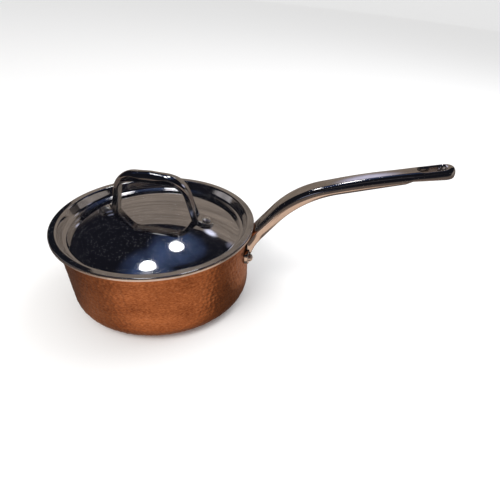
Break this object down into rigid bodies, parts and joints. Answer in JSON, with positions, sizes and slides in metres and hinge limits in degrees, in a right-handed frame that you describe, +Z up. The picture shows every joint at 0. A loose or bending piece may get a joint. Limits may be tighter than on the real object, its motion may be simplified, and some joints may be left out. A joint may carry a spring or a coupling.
{
  "type": "saucepan with lid",
  "caption": "Round saucepan with a hammered outer wall, a flared lip, a long riveted handle and a lift-off domed lid with a riveted loop handle.",
  "frame": {"origin": "centre of the pan's base on the surface it stands on", "axes": "+Z up along the pan's axis, +X along the long handle, -Y towards the side seen in the main view"},
  "size_m": [0.41, 0.206, 0.1684],
  "materials": {
    "hammered_copper": "hammered, satin copper",
    "aluminium_core": "plain cut edge",
    "steel_lining": "fine satin stainless steel",
    "handle_steel": "polished cast stainless steel",
    "lid_steel": "mirror polished stainless steel with fine scratches",
    "loop_steel": "polished cast stainless steel",
    "rivet_steel": "satin stainless steel"
  },
  "bodies": {
    "pan": {"copper_shell": "hammered_copper", "aluminium_core": "aluminium_core", "steel_lining": "steel_lining", "long_handle": "handle_steel", "handle_rivet_near": "rivet_steel", "handle_rivet_far": "rivet_steel"},
    "lid": {"lid_shell": "lid_steel", "lid_handle": "loop_steel", "lid_rivet_left": "rivet_steel", "lid_rivet_right": "rivet_steel"}
  },
  "joints": [
    {"name": "lid_lift", "type": "slide", "parent": "pan", "child": "lid", "axis": [0, 0, 1], "range_m": [0, 0.15]}
  ]
}
